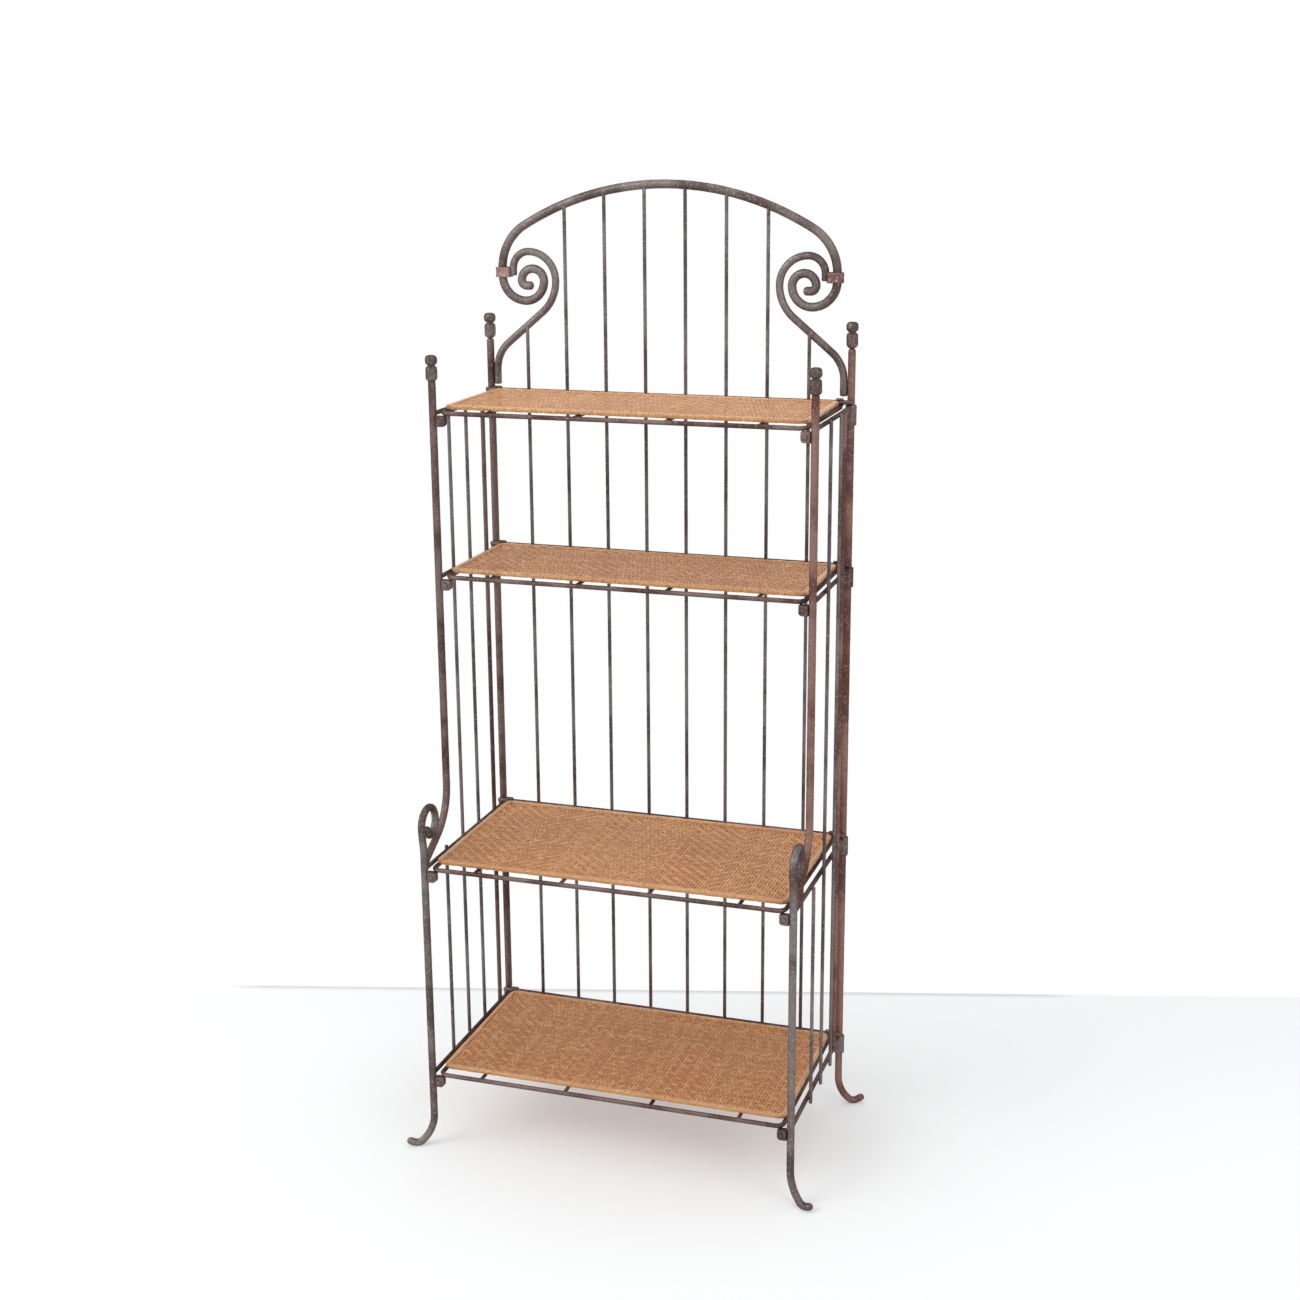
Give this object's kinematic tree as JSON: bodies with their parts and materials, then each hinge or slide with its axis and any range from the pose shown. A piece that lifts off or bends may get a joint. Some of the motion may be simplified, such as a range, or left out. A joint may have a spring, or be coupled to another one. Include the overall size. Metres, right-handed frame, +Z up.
{
  "type": "bakers rack",
  "caption": "Tall folding metal rack with hinged woven shelves, turned finials, a spindled back and a scrolled arch over the top.",
  "frame": {"origin": "on the floor under the middle of the rack's outer box", "axes": "+Z up, +X to the right as seen from the front, the rack faces -Y"},
  "size_m": [0.7424, 0.4142, 1.6555],
  "materials": {
    "iron": "hammered bronze-brown paint, satin",
    "collar": "satin, worn lighter than the bars",
    "sleeve": "satin, rubbed to grey where it turns",
    "wicker": "woven rattan, lightly varnished",
    "binding": "flat rattan binding, lightly varnished"
  },
  "bodies": {
    "back": {"rear_post_left": "iron", "rear_post_right": "iron", "rear_finials": "iron", "arch_bar": "iron", "scroll_stems": "iron", "scroll_collars": "collar", "back_rail_1": "iron", "back_rail_2": "iron", "back_rail_3": "iron", "back_rail_4": "iron", "back_spindles_centre": "iron", "back_spindles_mid": "iron", "back_spindles_wide": "iron", "back_spindles_short": "iron"},
    "left_side": {"front_finial_left": "iron", "front_post_left": "iron", "front_leg_left": "iron", "side_rail_1_left": "iron", "side_rail_2_left": "iron", "side_rail_3_left": "iron", "side_rail_4_left": "iron", "side_stile_left": "iron", "side_spindles_left": "iron", "hinge_knuckles_left": "sleeve", "shelf_rests_left": "iron", "rest_bolts_left": "iron"},
    "right_side": {"front_finial_right": "iron", "front_post_right": "iron", "front_leg_right": "iron", "side_rail_1_right": "iron", "side_rail_2_right": "iron", "side_rail_3_right": "iron", "side_rail_4_right": "iron", "side_stile_right": "iron", "side_spindles_right": "iron", "hinge_knuckles_right": "sleeve", "shelf_rests_right": "iron", "rest_bolts_right": "iron"},
    "shelf_1": {"shelf_frame_1": "iron", "shelf_bars_1": "iron", "wicker_panel_1": "wicker", "panel_binding_1": "binding"},
    "shelf_2": {"shelf_frame_2": "iron", "shelf_bars_2": "iron", "wicker_panel_2": "wicker", "panel_binding_2": "binding"},
    "shelf_3": {"shelf_frame_3": "iron", "shelf_bars_3": "iron", "wicker_panel_3": "wicker", "panel_binding_3": "binding"},
    "shelf_4": {"shelf_frame_4": "iron", "shelf_bars_4": "iron", "wicker_panel_4": "wicker", "panel_binding_4": "binding"}
  },
  "joints": [
    {"name": "shelf_1_fold", "type": "hinge", "parent": "back", "child": "shelf_1", "pos_m": [0, 0.1665, 1.29508], "axis": [-1, 0, 0], "range_deg": [0, 82]},
    {"name": "shelf_2_fold", "type": "hinge", "parent": "back", "child": "shelf_2", "pos_m": [0, 0.1665, 1.01758], "axis": [-1, 0, 0], "range_deg": [0, 82]},
    {"name": "shelf_3_fold", "type": "hinge", "parent": "back", "child": "shelf_3", "pos_m": [0, 0.1665, 0.52908], "axis": [-1, 0, 0], "range_deg": [0, 82]},
    {"name": "shelf_4_fold", "type": "hinge", "parent": "back", "child": "shelf_4", "pos_m": [0, 0.1665, 0.14508], "axis": [-1, 0, 0], "range_deg": [0, 82]},
    {"name": "right_side_swing", "type": "hinge", "parent": "back", "child": "right_side", "pos_m": [0.324, 0.177, 0.7], "axis": [0, 0, 1], "range_deg": [0, 90]},
    {"name": "left_side_swing", "type": "hinge", "parent": "back", "child": "left_side", "pos_m": [-0.324, 0.177, 0.7], "axis": [0, 0, -1], "range_deg": [0, 90]}
  ]
}
